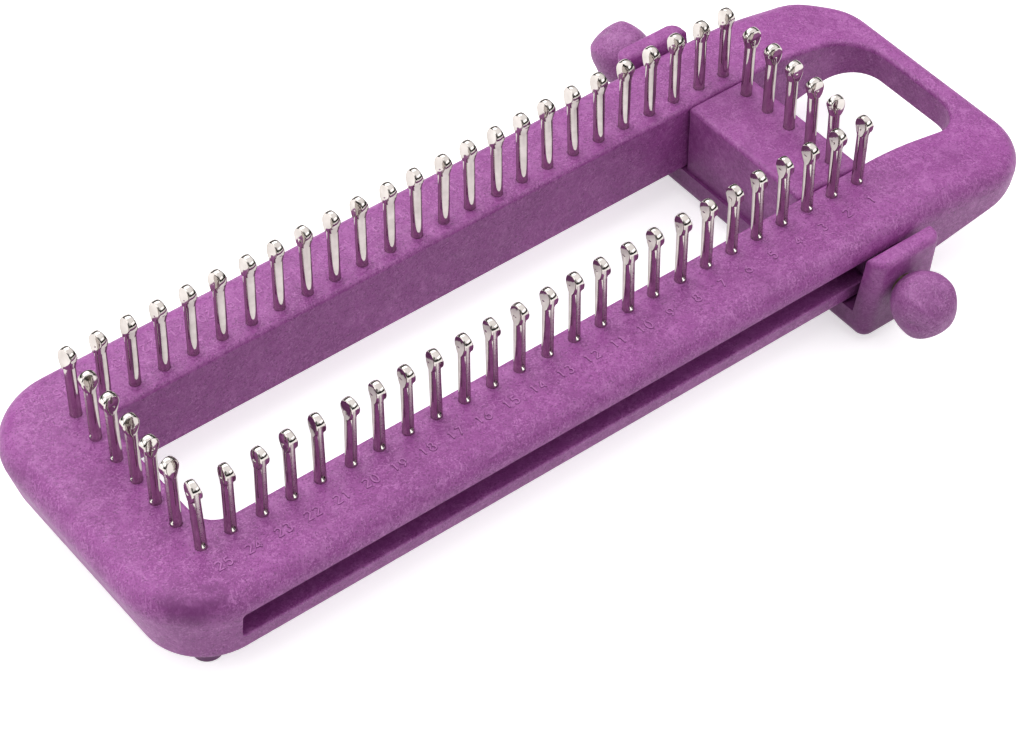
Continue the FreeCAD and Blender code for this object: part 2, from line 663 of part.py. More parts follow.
for side, word, crest in ((-1, "near", NEAR_KNOB_CREST), (1, "far", FAR_KNOB_CREST)):
    screw = make_screw(side)
    save(word + "_clamp_screw", screw)
    save(word + "_knob", make_knob(side, crest, screw))
    save(word + "_threaded_insert", make_insert(side))
    save(word + "_slot_shoe", make_shoe(side))

for x, y in feet():
    name = "%s_%s_foot" % ("near" if y < 0 else "far", "left" if x < 0 else "right")
    cone, spigot = make_foot(x, y)
    foot = cone.fuse(spigot)
    # the foot's shoulder follows the rail's underside
    foot = foot.cut(frame).removeSplitter()
    solids = foot.Solids
    solids.sort(key=lambda s: -s.Volume)
    save(name, solids[0])
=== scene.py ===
import bpy
import math
import numpy as np
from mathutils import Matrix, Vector


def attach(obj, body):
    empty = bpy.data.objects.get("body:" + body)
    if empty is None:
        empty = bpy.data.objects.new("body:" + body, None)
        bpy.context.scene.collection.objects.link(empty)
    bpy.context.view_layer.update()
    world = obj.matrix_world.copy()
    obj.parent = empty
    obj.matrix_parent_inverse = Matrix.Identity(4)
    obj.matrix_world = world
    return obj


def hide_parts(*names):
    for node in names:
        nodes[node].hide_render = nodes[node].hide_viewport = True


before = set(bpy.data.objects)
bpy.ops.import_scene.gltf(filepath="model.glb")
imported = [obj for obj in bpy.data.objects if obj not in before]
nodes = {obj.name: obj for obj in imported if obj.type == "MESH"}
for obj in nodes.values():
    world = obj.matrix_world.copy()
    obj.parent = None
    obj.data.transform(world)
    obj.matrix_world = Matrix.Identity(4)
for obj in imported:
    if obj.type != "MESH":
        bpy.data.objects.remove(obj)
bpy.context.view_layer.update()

MM = 0.001
# the board's own layout, millimetres: x = 0 at the middle peg, z = 0 on the rails
SHIFT = np.array([-17.125, 0.0, 35.0])
PITCH = 9.525
ROW_Y = 30.0
END_X = -114.8
END_PITCH = 9.70
SLIDER_ROW_X = 12 * PITCH
SLIDER_PITCH = 9.475

scene = bpy.context.scene
scene.view_settings.view_transform = "Standard"
scene.view_settings.look = "None"
scene.view_settings.exposure = 0.0
scene.view_settings.gamma = 1.0


# ------------------------------------------------------------------ node help
class Tree:
    """Short names for building a node tree."""

    def __init__(self, tree):
        self.t = tree

    def node(self, kind, **settings):
        n = self.t.nodes.new(kind)
        for k, v in settings.items():
            setattr(n, k, v)
        return n

    def link(self, a, b):
        self.t.links.new(a, b)

    def value(self, socket, v):
        if hasattr(v, "is_linked") or isinstance(v, bpy.types.NodeSocket):
            self.link(v, socket)
        else:
            socket.default_value = v

    def math(self, op, a, b=None, clamp=False):
        n = self.node("ShaderNodeMath", operation=op, use_clamp=clamp)
        self.value(n.inputs[0], a)
        if b is not None:
            self.value(n.inputs[1], b)
        return n.outputs[0]

    def mix(self, f, a, b, blend="MIX"):
        n = self.node("ShaderNodeMix", data_type="RGBA", blend_type=blend, clamp_factor=True)
        self.value(n.inputs[0], f)
        self.value(n.inputs[6], a)
        self.value(n.inputs[7], b)
        return n.outputs[2]

    def ramp(self, f, stops, mode="LINEAR"):
        n = self.node("ShaderNodeValToRGB")
        n.color_ramp.interpolation = mode
        r = n.color_ramp
        while len(r.elements) < len(stops):
            r.elements.new(0.5)
        for e, (p, c) in zip(r.elements, stops):
            e.position = p
            e.color = c if len(c) == 4 else (*c, 1.0)
        self.value(n.inputs[0], f)
        return n.outputs[0]

    def range(self, v, a, b, c, d, smooth=False):
        n = self.node("ShaderNodeMapRange", clamp=True)
        if smooth:
            n.interpolation_type = "SMOOTHSTEP"
        self.value(n.inputs[0], v)
        for i, x in zip((1, 2, 3, 4), (a, b, c, d)):
            self.value(n.inputs[i], x)
        return n.outputs[0]

    def noise(self, vec, scale, detail=2.0, rough=0.5, distortion=0.0, lacunarity=2.0):
        n = self.node("ShaderNodeTexNoise", noise_dimensions="3D")
        self.link(vec, n.inputs["Vector"])
        n.inputs["Scale"].default_value = scale
        n.inputs["Detail"].default_value = detail
        n.inputs["Roughness"].default_value = rough
        n.inputs["Distortion"].default_value = distortion
        n.inputs["Lacunarity"].default_value = lacunarity
        return n.outputs["Fac"]

    def voronoi(self, vec, scale, feature="F1", randomness=1.0, out="Distance"):
        n = self.node("ShaderNodeTexVoronoi", feature=feature)
        self.link(vec, n.inputs["Vector"])
        n.inputs["Scale"].default_value = scale
        n.inputs["Randomness"].default_value = randomness
        return n.outputs[out]

    def mapping(self, vec, scale=(1, 1, 1), rot=(0, 0, 0), loc=(0, 0, 0)):
        n = self.node("ShaderNodeMapping")
        self.link(vec, n.inputs["Vector"])
        n.inputs["Scale"].default_value = scale
        n.inputs["Rotation"].default_value = rot
        n.inputs["Location"].default_value = loc
        return n.outputs[0]


def new_material(name):
    m = bpy.data.materials.new(name)
    m.use_nodes = True
    m.node_tree.nodes.clear()
    t = Tree(m.node_tree)
    out = t.node("ShaderNodeOutputMaterial")
    bsdf = t.node("ShaderNodeBsdfPrincipled")
    t.link(bsdf.outputs[0], out.inputs[0])
    return m, t, bsdf


def lin(r, g, b):
    """8-bit display colour to scene-linear."""
    def f(c):
        c /= 255.0
        return c / 12.92 if c <= 0.04045 else ((c + 0.055) / 1.055) ** 2.4
    return (f(r), f(g), f(b), 1.0)


# ------------------------------------------------------------------ materials
def fibre_plastic(name, dark, mid, light, rough=0.50, offset=(0, 0, 0), fleck=1.0, painted_shade_patches=(), low=None,
                  groove_painted_shade=0.0):
    """Moulded plastic filled with short fibres: pale flecks and threads lying
    every way, finer dark specks, and slow cloudy patches under them.
    painted_shade_patches: painted shade, darker soft patches laid where shade falls (centre, turn, half sizes,
    amount), millimetres.
    low: (height, height, amount), painted shade: darker towards the bottom, where shade falls.
    groove_painted_shade: painted shade, how much darker the plastic is painted inside the rails' grooves, where shade
    falls."""
    m, t, bsdf = new_material(name)
    pos = t.node("ShaderNodeTexCoord").outputs["Object"]
    true = t.mapping(pos, scale=(1000, 1000, 1000))
    pos = t.mapping(pos, scale=(1000, 1000, 1000), loc=offset)   # millimetres
    # slow clouds and patches
    cloud = t.noise(pos, 0.060, 3.0, 0.55, 0.6)
    patch = t.noise(pos, 0.22, 4.0, 0.62, 1.2)
    base = t.mix(t.range(cloud, 0.33, 0.67, 0.0, 0.34), mid, dark)
    base = t.mix(t.range(patch, 0.46, 0.66, 0.0, 0.24), base, light)
    # threads: thin bright ridges of stretched noise, laid in three directions
    total = None
    for rot, s in (((0.3, 0.2, 0.4), 1.0), ((1.1, 0.5, 1.7), 1.2), ((0.4, 1.3, 2.7), 0.85), ((2.0, 0.9, 0.9), 1.05)):
        v = t.mapping(pos, rot=rot, loc=(7.3 * s, 2.1, 5.7 * s))
        v = t.mapping(v, scale=(0.33 * s, 1.45 * s, 1.45 * s))
        n = t.noise(v, 1.0, 3.0, 0.6)
        f = t.range(n, 0.57, 0.72, 0.0, 1.0, smooth=True)
        total = f if total is None else t.math("MAXIMUM", total, f)
    # grains: short pale flecks
    g = t.noise(pos, 1.4, 3.0, 0.62)
    grains = t.range(g, 0.52, 0.68, 0.0, 1.0, smooth=True)
    keep = t.range(t.noise(pos, 0.16, 2.0, 0.6), 0.35, 0.62, 0.35, 1.0)
    pale = t.math("MULTIPLY", t.math("MAXIMUM", total, t.math("MULTIPLY", grains, 0.75)), keep)
    col = t.mix(t.math("MULTIPLY", pale, 0.62 * fleck), base, light)
    # fine dark specks between them
    speck = t.noise(t.mapping(pos, loc=(31, 7, 3)), 1.7, 3.0, 0.62)
    dark_f = t.math("MULTIPLY", t.range(speck, 0.30, 0.48, 1.0, 0.0, smooth=True), 0.70 * fleck)
    col = t.mix(dark_f, col, dark)
    pit = t.voronoi(t.mapping(pos, loc=(3, 17, 9)), 0.50)
    col = t.mix(t.range(pit, 0.07, 0.16, 0.6, 0.0, smooth=True), col, dark)
    # painted shade: soft dark patches laid into the colour where shade falls on the frame
    for centre, turn, half, amount in painted_shade_patches:
        q = t.mapping(true, loc=tuple(-c for c in centre))
        q = t.mapping(q, rot=(0, 0, math.radians(turn)))
        q = t.mapping(q, scale=tuple(1.0 / h for h in half))
        far = t.node("ShaderNodeVectorMath", operation="LENGTH")
        t.link(q, far.inputs[0])
        edge = t.math("ADD", far.outputs["Value"], t.math("MULTIPLY", t.math("SUBTRACT", patch, 0.5), 0.9))
        col = t.mix(t.range(edge, 0.10, 1.0, amount, 0.0, smooth=True), col, dark)
    # painted shade: darker towards the bottom
    if low is not None:
        parts = t.node("ShaderNodeSeparateXYZ")
        t.link(true, parts.inputs[0])
        col = t.mix(t.range(parts.outputs["Z"], low[1], low[0], low[2], 0.0, smooth=True), col, dark)
    # painted shade: the insides of the rails' grooves are darkened where shade falls
    if groove_painted_shade > 0:
        parts = t.node("ShaderNodeSeparateXYZ")
        t.link(true, parts.inputs[0])
        side = t.math("ABSOLUTE", parts.outputs["Y"])
        deep = t.math("MULTIPLY", t.range(side, 47.2, 49.3, 1.0, 0.0), t.range(side, 42.2, 42.6, 0.0, 1.0))
        band = t.math("MULTIPLY", t.range(parts.outputs["Z"], 17.6, 18.2, 0.0, 1.0),
                      t.range(parts.outputs["Z"], 27.2, 27.8, 1.0, 0.0))
        along = t.math("MULTIPLY", t.range(parts.outputs["X"], -133.1, -132.8, 0.0, 1.0),
                       t.range(parts.outputs["X"], 96.1, 96.4, 1.0, 0.0))
        band = t.math("MULTIPLY", band, along)
        col = t.mix(t.math("MULTIPLY", t.math("MULTIPLY", deep, band), groove_painted_shade), col, dark)
    t.link(col, bsdf.inputs["Base Color"])
    r = t.range(t.noise(pos, 0.9, 3.0, 0.6), 0.3, 0.7, rough - 0.07, rough + 0.09)
    t.link(r, bsdf.inputs["Roughness"])
    bsdf.inputs["IOR"].default_value = 1.46
    bsdf.inputs["Specular IOR Level"].default_value = 0.56
    height = t.math("ADD", t.math("MULTIPLY", t.noise(pos, 1.5, 4.0, 0.62), 0.7),
                    t.math("MULTIPLY", pale, 0.22))
    bump = t.node("ShaderNodeBump")
    bump.inputs["Strength"].default_value = 0.34
    bump.inputs["Distance"].default_value = 0.00022
    t.link(height, bump.inputs["Height"])
    t.link(bump.outputs[0], bsdf.inputs["Normal"])
    return m


def bright_nickel(name, rough=(0.035, 0.10)):
    m, t, bsdf = new_material(name)
    pos = t.node("ShaderNodeTexCoord").outputs["Object"]
    pos = t.mapping(pos, scale=(1000, 1000, 1000))
    tone = t.noise(pos, 0.30, 2.0, 0.5)
    col = t.mix(t.range(tone, 0.3, 0.7, 0.0, 1.0), (0.47, 0.430, 0.405, 1), (0.57, 0.530, 0.505, 1))
    t.link(col, bsdf.inputs["Base Color"])
    bsdf.inputs["Metallic"].default_value = 1.0
    bsdf.inputs["Specular Tint"].default_value = (0.62, 0.60, 0.60, 1)   # plating stays grey at its edges
    r = t.range(t.noise(pos, 1.6, 3.0, 0.6), 0.3, 0.7, rough[0], rough[1])
    t.link(r, bsdf.inputs["Roughness"])
    bump = t.node("ShaderNodeBump")
    bump.inputs["Strength"].default_value = 0.20
    bump.inputs["Distance"].default_value = 0.00005
    draw = t.mapping(pos, scale=(1.0, 1.0, 0.15))
    t.link(t.math("ADD", t.noise(pos, 0.8, 2.0, 0.5), t.math("MULTIPLY", t.noise(draw, 4.0, 2.0, 0.6), 0.22)),
           bump.inputs["Height"])
    t.link(bump.outputs[0], bsdf.inputs["Normal"])
    return m


def turned_metal(name, a, b, rough):
    m, t, bsdf = new_material(name)
    pos = t.node("ShaderNodeTexCoord").outputs["Object"]
    pos = t.mapping(pos, scale=(1000, 1000, 1000))
    rings = t.noise(t.mapping(pos, scale=(0.2, 6.0, 0.2)), 1.0, 3.0, 0.6)
    t.link(t.mix(rings, a, b), bsdf.inputs["Base Color"])
    bsdf.inputs["Metallic"].default_value = 1.0
    t.link(t.range(rings, 0.3, 0.7, rough - 0.07, rough + 0.07), bsdf.inputs["Roughness"])
    bump = t.node("ShaderNodeBump")
    bump.inputs["Strength"].default_value = 0.2
    bump.inputs["Distance"].default_value = 0.00005
    t.link(rings, bump.inputs["Height"])
    t.link(bump.outputs[0], bsdf.inputs["Normal"])
    return m


DARK = (0.125, 0.016, 0.116, 1)
MID = (0.290, 0.056, 0.272, 1)
LIGHT = (0.590, 0.225, 0.560, 1)
# the frame's plastic carries painted shade: a dark patch on the near left corner, and darker insides of the rails'
# grooves
plastic = fibre_plastic("fibre_plastic", DARK, MID, LIGHT,
                        painted_shade_patches=[((-144.6, -45.6, 32.4), 37.8, (15.5, 13.0, 6.2), 0.80)], groove_painted_shade=0.60)
# painted shade: the slider's plastic is darker low down, under the rails
slider_plastic = fibre_plastic("slider_fibre_plastic", DARK, MID, LIGHT, offset=(53, 11, 29), fleck=0.75,
                               low=(23.0, 11.0, 0.55))
knob_plastic = fibre_plastic("knob_fibre_plastic", (0.120, 0.022, 0.112, 1), (0.285, 0.076, 0.270, 1), (0.60, 0.275, 0.575, 1),
                             rough=0.54, offset=(11, 47, 5), fleck=0.9)
# painted shade: the feet are a darker copy of the purple plastic, for the shade under the board
foot_painted_shade_plastic = fibre_plastic("foot_painted_shade_fibre_plastic", (0.12, 0.028, 0.115, 1), (0.185, 0.052, 0.178, 1), (0.30, 0.12, 0.29, 1), offset=(7, 3, 91))
shoe_plastic = fibre_plastic("shoe_fibre_plastic", (0.10, 0.022, 0.095, 1), (0.16, 0.045, 0.15, 1), (0.25, 0.10, 0.24, 1), offset=(17, 33, 1))
# painted highlight: the figures' tops are a paler copy of the purple plastic
numeral_painted_highlight = fibre_plastic("numeral_painted_highlight_plastic", (0.26, 0.060, 0.245, 1), (0.42, 0.130, 0.395, 1), (0.62, 0.27, 0.595, 1), offset=(5, 71, 13), fleck=0.6)
# painted shade: the figures' steep walls and skirts are a darker copy of the purple plastic
numeral_painted_shade = fibre_plastic("numeral_painted_shade_plastic", (0.090, 0.012, 0.083, 1), (0.180, 0.030, 0.168, 1), (0.38, 0.11, 0.36, 1), offset=(5, 71, 13), fleck=0.5)
nickel = bright_nickel("bright_nickel")
groove_nickel = bright_nickel("groove_nickel", (0.24, 0.36))
steel = turned_metal("screw_steel", (0.52, 0.52, 0.53, 1), (0.66, 0.66, 0.67, 1), 0.28)
brass = turned_metal("turned_brass", (0.20, 0.13, 0.06, 1), (0.30, 0.21, 0.10, 1), 0.40)   # dull, as it comes from the box


def dress(name, material):
    o = nodes[name]
    o.data.materials.clear()
    o.data.materials.append(material)


dress("frame", plastic)
dress("slider", slider_plastic)
for n in nodes:
    if n.endswith("_foot"):
        dress(n, foot_painted_shade_plastic)
    elif n.endswith("_knob"):
        dress(n, knob_plastic)
    elif n.endswith("_shoe"):
        dress(n, shoe_plastic)
    elif n.endswith("_screw"):
        dress(n, steel)
    elif n.endswith("_insert"):
        dress(n, brass)
    elif "_peg" in n:
        dress(n, nickel)


# ----------------------------------------------------------------- mesh help
def new_piece(name, verts, faces, material, sharp_deg=None):
    """A mesh from points in the board's layout millimetres."""
    mesh = bpy.data.meshes.new(name)
    v = (np.asarray(verts, dtype=float) + SHIFT) * MM
    mesh.from_pydata([tuple(p) for p in v.tolist()], [], faces)
    mesh.update()
    mesh.polygons.foreach_set("use_smooth", [True] * len(mesh.polygons))
    if sharp_deg is not None:
        mesh.set_sharp_from_angle(angle=math.radians(sharp_deg))
    mesh.materials.append(material)
    o = bpy.data.objects.new(name, mesh)
    scene.collection.objects.link(o)
    return o


def wobble(i, k):
    """A fixed small number in -1..1 for peg i, property k."""
    x = math.sin(i * 12.9898 + k * 78.233) * 43758.5453
    return 2.0 * (x - math.floor(x)) - 1.0


# ----------------------------------------------------------------------- pegs
PEG_R = 1.70
GROOVE_X, GROOVE_R = 2.02, 0.75      # groove down the outer side
GROOVE_FOOT = 2.9                    # height where it dips into its spoon
NECK_Z, NECK_OUT = 18.70, 0.13       # the head's foot stands proud of the pin
DISC_X, DISC_Z, DISC_R = 0.15, 22.30, 2.66   # the head is a disc standing on edge
DISC_HALF = 1.60                     # half its thickness, along the rail
SLANT = (0.200, 0.130)               # its two flats lean in towards the top
CROWN = 0.14                         # how much its rim is crowned
EDGE = 0.27                          # softness of the rim's edges
FLARE = 0.23                         # slope of the flare under the disc
LIP_Z, LIP_X = 20.75, 2.68           # lower corner of the outer lip
HEAD_TOP = DISC_Z + DISC_R
GROOVE_HEAD = 21.6                   # height where the groove fades out


def smax(a, b, k):
    h = np.clip(0.5 + 0.5 * (a - b) / k, 0.0, 1.0)
    return b + (a - b) * h + k * h * (1.0 - h)


def smin(a, b, k):
    return -smax(-a, -b, k)


def head_field(x, y, z, i):
    """Below zero inside the head. x points outward, y along the rail."""
    radius = DISC_R * (1.0 + 0.010 * wobble(i, 1))
    half = DISC_HALF * (1.0 + 0.03 * wobble(i, 2))
    r = np.hypot(x, y)
    up = z - DISC_Z
    dx = x - DISC_X
    # each pressed flat has a slant and a turn of its own
    slant = np.where(y > 0, SLANT[0] + 0.05 * wobble(i, 9), SLANT[1] + 0.05 * wobble(i, 10))
    turn = 0.04 * np.where(y > 0, wobble(i, 11), wobble(i, 12))
    cheek = 0.974 * (np.abs(y) - half + slant * up + turn * dx) + 0.022 * (dx * dx + up * up)
    cone = r - (PEG_R + NECK_OUT + FLARE * (z - NECK_Z))
    ball = np.hypot(dx, up) - radius + CROWN * y * y
    # the outer side stays upright down to a lip and then slants in
    wall = dx - radius + 0.05 * up * up + CROWN * y * y
    under = 0.806 * (x - LIP_X) - 0.592 * (z - LIP_Z)
    lip = smax(smax(wall, under, 0.15), cone - 0.45, 0.20)
    lip = np.maximum(np.maximum(lip, -dx), up)
    low = np.where(z < 21.6, cone, 9.0)
    body = smin(smin(ball, lip, 0.08), low, 0.16)
    return smax(cheek, body, EDGE)


def peg_radius(ang, z, i):
    """Radius of the peg at every angle (columns) and height (rows)."""
    c, s = np.cos(ang), np.sin(ang)
    r = np.where(z < -8.7, PEG_R - 0.3, PEG_R) + 0.0 * ang
    # groove: a round-bottomed channel, dipping below into a spoon with a steep lip
    root = GROOVE_R ** 2 - (GROOVE_X * s) ** 2
    inside = (root > 0) & (c > 0)
    channel = np.where(inside, GROOVE_X * c - np.sqrt(np.maximum(root, 0.0)), 9.0)
    d = np.clip((GROOVE_FOOT - z) / 1.2, 0.0, 1.0)
    lift = 1.15 * np.maximum(0.0, 1.50 - z) - 0.44 * d * d * (3.0 - 2.0 * d) + np.where(z <= 0.3, 9.0, 0.0)
    pin = smin(r, channel + lift, 0.05)
    lo, hi = np.full(r.shape, 0.02), np.full(r.shape, 3.6)
    for _ in range(30):
        m = 0.5 * (lo + hi)
        out = head_field(m * c, m * s, z + 0.0 * ang, i) > 0
        hi = np.where(out, m, hi)
        lo = np.where(out, lo, m)
    head = 0.5 * (lo + hi)
    neck = PEG_R + NECK_OUT * np.clip((z - NECK_Z) / 0.05, 0.0, 1.0)
    head = np.where(z < 21.5, np.maximum(head, neck), head)
    # the groove runs on up the outer side of the head and fades out
    fade = np.maximum(0.0, (z - GROOVE_HEAD) / 1.2)
    head = smin(head, channel + 0.08 + 1.3 * fade ** 2 + np.where(fade > 1.3, 9.0, 0.0), 0.10)
    return np.where(z >= NECK_Z, head, pin)


# closer together across the groove and where the disc's edges lie
half_turn = np.concatenate([np.radians([0, 4, 8, 12, 15.5, 18.5, 21, 23, 25, 27.5, 30.5]),
                            np.radians(np.arange(33.5, 178, 3.4)), [math.pi]])
ANG = np.concatenate([half_turn, -half_turn[-2:0:-1]])
ANGLES = len(ANG)
LEVELS = np.array([-8.90, -8.60, -0.40, 0.28, 0.32] + [0.66, 0.76, 0.88, 1.02, 1.16, 1.30, 1.40, 1.50, 1.65, 1.85, 2.1, 2.4, 2.9]
                  + [5.4, 8.5, 11.5, 14.5, 17.0, 18.3, 18.66, 18.695, 18.705, 18.76, 18.88, 19.05]
                  + [19.05 + 0.145 * k for k in range(1, 23)]
                  + [22.30 + 2.62 * math.sin(math.pi / 2 * k / 24) for k in range(1, 24)])


def peg_mesh(i):
    z = LEVELS[:, None]
    ang = ANG[None, :]
    r = peg_radius(ang, z, i)
    x, y = r * np.cos(ang), r * np.sin(ang)
    verts = np.stack([x, y, z + 0.0 * ang], axis=-1).reshape(-1, 3)
    top = DISC_Z + DISC_R * (1.0 + 0.010 * wobble(i, 1))
    verts = np.concatenate([verts, [(0, 0, LEVELS[0]), (DISC_X, 0, max(top, LEVELS[-1] + 0.003))]])
    n = len(LEVELS)
    faces = []
    for k in range(n - 1):
        for m in range(ANGLES):
            q = (m + 1) % ANGLES
            faces.append((k * ANGLES + m, k * ANGLES + q, (k + 1) * ANGLES + q, (k + 1) * ANGLES + m))
    b, t_ = len(verts) - 2, len(verts) - 1
    for m in range(ANGLES):
        q = (m + 1) % ANGLES
        faces.append((b, q, m))
        faces.append((t_, (n - 1) * ANGLES + m, (n - 1) * ANGLES + q))
    return verts, faces


# how far each pin stands off its place along SIDEWAYS, mm: (at the rail, 22 mm up)
SIDEWAYS = (0.790, -0.613)
OFF = {
    "near": {1: (-0.18, 0.24), 2: (-0.35, -0.17), 3: (-0.35, -0.80), 4: (-0.35, -0.75),
             5: (-0.35, -0.90), 6: (-0.26, -0.33), 7: (-0.17, -0.36), 8: (-0.13, -0.17),
             9: (-0.35, -0.60), 10: (-0.01, -0.33), 11: (-0.20, -0.48), 12: (-0.10, -0.24),
             13: (-0.01, 0.08), 14: (-0.17, -0.23), 15: (-0.06, -0.27), 16: (-0.01, -0.02),
             17: (0.03, -0.27), 18: (0.03, -0.11), 19: (0.04, -0.03), 20: (0.18, 0.60),
             21: (-0.26, -0.35), 22: (0.02, 0.08), 23: (0.06, 0.49), 24: (-0.33, -0.20),
             25: (-0.16, -0.80)},
    "far": {3: (-0.22, -0.13), 4: (-0.11, 0.00), 5: (-0.32, -0.13), 6: (-0.23, -0.45),
            7: (-0.27, -0.75), 8: (-0.34, -0.71), 9: (-0.23, -0.33), 10: (0.09, -0.09),
            11: (-0.17, -0.29), 12: (-0.06, 0.28), 13: (-0.07, -0.14), 14: (0.00, 0.13),
            15: (-0.25, -0.33), 16: (-0.20, -0.21), 17: (-0.10, -0.13), 18: (-0.13, 0.02),
            19: (-0.05, 0.24), 20: (-0.30, -0.10), 21: (-0.35, -0.19), 22: (-0.35, -0.23),
            23: (-0.35, -0.20), 24: (-0.20, -0.20), 25: (-0.35, -0.35)},
    "end": {0: (-0.30, -0.20), 3: (-0.35, -0.25), 4: (-0.35, -0.47)},
    "slider": {0: (-0.27, 0.07), 1: (-0.14, 0.06), 2: (-0.06, -0.04), 3: (-0.15, -0.34),
               4: (-0.35, -0.60)},
}


def off_of(row, n):
    return OFF[row].get(n, (0.0, 0.0))


def pegs_piece(name, places, first):
    """places: (x, y, turn in degrees, (offset at the rail, offset 22 mm up)) of each peg."""
    verts, faces, count = [], [], 0
    for k, (x, y, turn, (low, high)) in enumerate(places):
        v, f = peg_mesh(first + k)
        a = math.radians(turn)
        zz = v[:, 2]
        off = low + (high - low) * np.maximum(zz, 0.0) / 22.0
        out = np.empty_like(v)
        out[:, 0] = v[:, 0] * math.cos(a) - v[:, 1] * math.sin(a) + x + SIDEWAYS[0] * off
        out[:, 1] = v[:, 0] * math.sin(a) + v[:, 1] * math.cos(a) + y + SIDEWAYS[1] * off
        out[:, 2] = zz
        verts.append(out)
        faces += [tuple(j + count for j in face) for face in f]
        count += len(v)
    piece = new_piece(name, np.concatenate(verts), faces, nickel, sharp_deg=50)
    # the groove is left duller than the plated pin round it
    piece.data.materials.append(groove_nickel)
    n = len(LEVELS)
    inside = np.zeros((n - 1, ANGLES), dtype=bool)
    in_z = (LEVELS[:-1] > 1.60) & (LEVELS[1:] < GROOVE_HEAD + 0.3)
    span = np.abs(ANG) < math.radians(21.5)
    inside[in_z] = span & np.roll(span, -1)
    per_peg = np.concatenate([inside.ravel(), np.zeros(2 * ANGLES, dtype=bool)])
    piece.data.polygons.foreach_set("material_index", np.tile(per_peg, len(places)).astype(int).tolist())
    return piece


TWIST_NEAR = {25: -5, 24: -4, 21: -5, 19: -4, 17: -6, 15: -4, 12: -3,
              11: -3, 10: -4, 8: -3, 5: -4, 4: -3, 23: 3, 20: 4, 18: 2,
              14: 4, 13: 4, 9: 2, 7: 3, 6: 2, 3: 2, 2: 3, 1: 1}
TWIST_FAR = {25: 12, 24: 12, 23: 0, 22: 5, 21: 6, 20: 14, 19: 4, 18: 7,
             17: 12, 16: 8, 15: 12, 14: 4, 13: 0, 12: 5, 11: 7, 10: 0,
             9: 4, 8: 12, 7: -1, 6: 6, 5: 12, 4: 7, 3: 11, 2: 9, 1: 3}
TWIST_END = [-6, 4, -3, 8, 12]
TWIST_SLIDER = [-4, -8, -3, -6, -9]

peg_sets = [
    ("near_pegs", "near_rail_pegs", "board", 0,
     [((13 - n) * PITCH, -ROW_Y, -90 + TWIST_NEAR.get(n, 0), off_of("near", n)) for n in range(1, 26)]),
    ("far_pegs", "far_rail_pegs", "board", 100,
     [((13 - n) * PITCH, ROW_Y, 90 + TWIST_FAR.get(n, 0), off_of("far", n)) for n in range(1, 26)]),
]
for k in range(5):
    peg_sets.append(("left_end_peg_%d" % (k + 1), "end_peg_%d" % (k + 1), "board", 200 + k,
                     [(END_X, (2 - k) * END_PITCH, 180 + TWIST_END[k], off_of("end", k))]))
    peg_sets.append(("slider_row_peg_%d" % (k + 1), "slider_peg_%d" % (k + 1), "slider", 300 + k,
                     [(SLIDER_ROW_X, (2 - k) * SLIDER_PITCH, TWIST_SLIDER[k], off_of("slider", k))]))
for name, node, body, first, places in peg_sets:
    piece = pegs_piece(name, places, first)
    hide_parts(node)
    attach(piece, body)


# ------------------------------------------------------------------- numerals
def bow(cx, cy, rx, ry, a0, a1, n=12):
    return [(cx + rx * math.cos(math.radians(a0 + (a1 - a0) * k / n)),
             cy + ry * math.sin(math.radians(a0 + (a1 - a0) * k / n))) for k in range(n + 1)]


# strokes of plain figures in a cell 1.9 wide and 3.1 high
FIGURES = {
    "0": [bow(0.95, 1.55, 0.86, 1.47, 90, 450, 26)],
    "1": [[(0.42, 2.42), (0.98, 3.02), (0.98, 0.08)]],
    "2": [bow(0.95, 2.2, 0.80, 0.82, 165, -32, 14) + [(0.16, 0.10), (1.80, 0.10)]],
    "3": [bow(0.88, 2.28, 0.74, 0.74, 150, -72, 14) + bow(0.88, 0.84, 0.84, 0.78, 72, -150, 16)],
    "4": [[(1.36, 0.08), (1.36, 3.02), (0.10, 0.92), (1.84, 0.92)]],
    "5": [[(1.66, 3.00), (0.44, 3.00), (0.30, 1.72)] + bow(0.92, 1.02, 0.84, 0.92, 125, -148, 18)],
    "6": [[(1.50, 3.00), (0.62, 2.00)] + bow(0.95, 0.98, 0.82, 0.88, 158, 518, 26)],
    "7": [[(0.14, 3.00), (1.78, 3.00), (0.72, 0.08)]],
    "8": [bow(0.95, 2.30, 0.68, 0.70, -90, 270, 22), bow(0.95, 0.83, 0.84, 0.77, 90, 450, 24)],
    "9": [[(0.42, 0.10), (1.30, 1.10)] + bow(0.95, 2.12, 0.82, 0.88, -22, 338, 26)],
}


